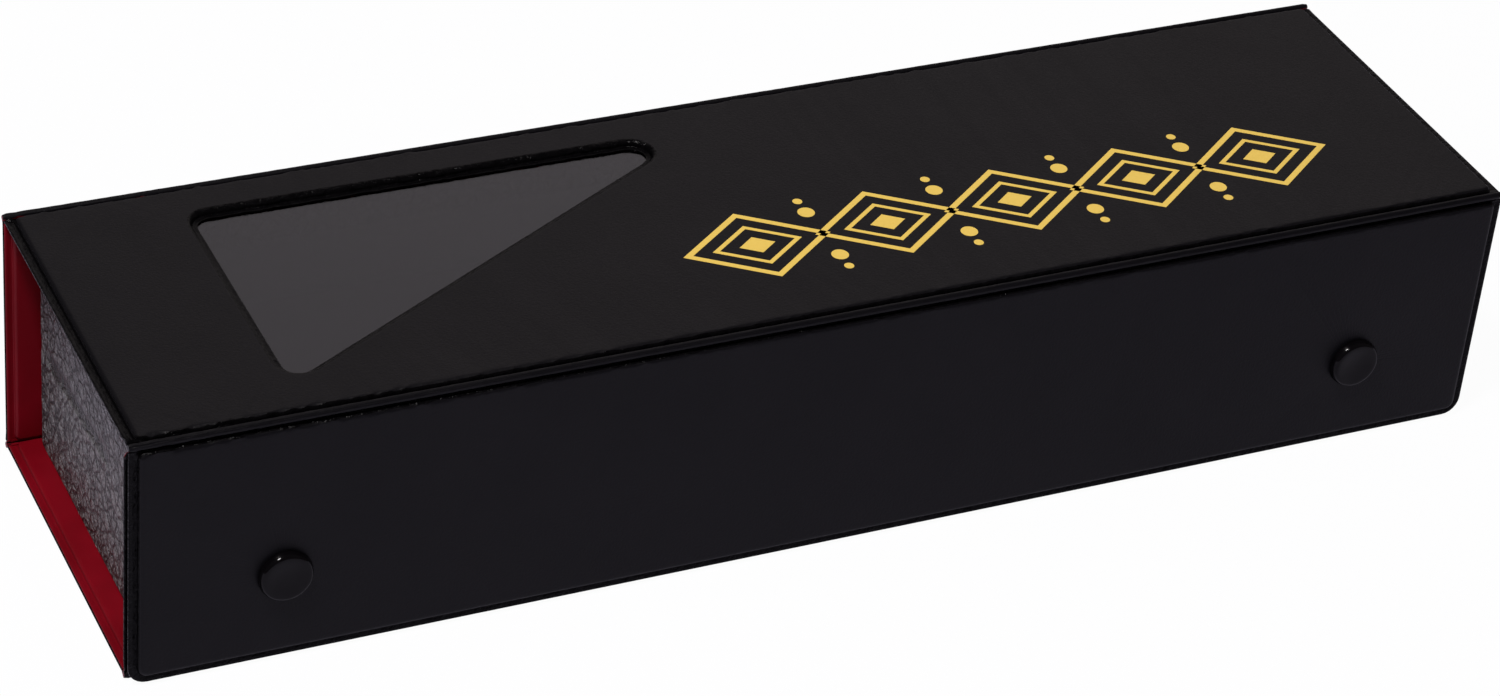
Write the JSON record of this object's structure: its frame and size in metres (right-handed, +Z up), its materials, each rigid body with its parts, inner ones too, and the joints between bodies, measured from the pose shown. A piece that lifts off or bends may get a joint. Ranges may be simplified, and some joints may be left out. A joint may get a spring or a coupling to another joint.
{
  "type": "tile game case",
  "caption": "Long black vinyl case for game tiles with a triangular window in the hinged lid, a snap-down front flap, red lining and a two-trough tray.",
  "frame": {"origin": "on the table, midway between the two ends and between the flap's face and the back face", "axes": "+X along the case, +Y from the flap to the back, +Z up"},
  "size_m": [0.35, 0.1002, 0.067],
  "materials": {
    "black_vinyl": "fine-grained satin black vinyl",
    "red_vinyl": "smooth satin red vinyl",
    "greyboard": "plain grey board",
    "grained_cover": "coarse grained black leatherette",
    "insert_sheet": "satin black formed sheet",
    "clear_film": "clear glossy film",
    "black_enamel": "gloss black enamel",
    "snap_metal": "bright nickelled steel"
  },
  "bodies": {
    "base": {"bottom_board": "greyboard", "bottom_skin": "black_vinyl", "bottom_liner": "red_vinyl", "back_board": "greyboard", "back_skin": "black_vinyl", "back_liner": "red_vinyl", "inner_front_board": "greyboard", "inner_front_skin": "black_vinyl", "inner_front_liner": "red_vinyl", "bottom_back_fold": "black_vinyl", "bottom_front_fold": "black_vinyl", "lid_fold": "black_vinyl", "snap_studs": "snap_metal", "snap_eyelets": "snap_metal", "tray_board": "greyboard", "tray_cover": "grained_cover", "tile_insert": "insert_sheet"},
    "lid": {"lid_board": "greyboard", "lid_skin": "black_vinyl", "lid_liner": "red_vinyl", "window_film": "clear_film", "flap_fold": "black_vinyl"},
    "flap": {"flap_board": "greyboard", "flap_skin": "black_vinyl", "flap_liner": "red_vinyl", "snap_caps": "black_enamel", "snap_sockets": "snap_metal"}
  },
  "joints": [
    {"name": "lid_hinge", "type": "hinge", "parent": "base", "child": "lid", "pos_m": [0, 0.049, 0.067], "axis": [-1, 0, 0], "range_deg": [0, 220]},
    {"name": "flap_hinge", "type": "hinge", "parent": "lid", "child": "flap", "pos_m": [0, -0.049, 0.067], "axis": [-1, 0, 0], "range_deg": [0, 262]}
  ]
}
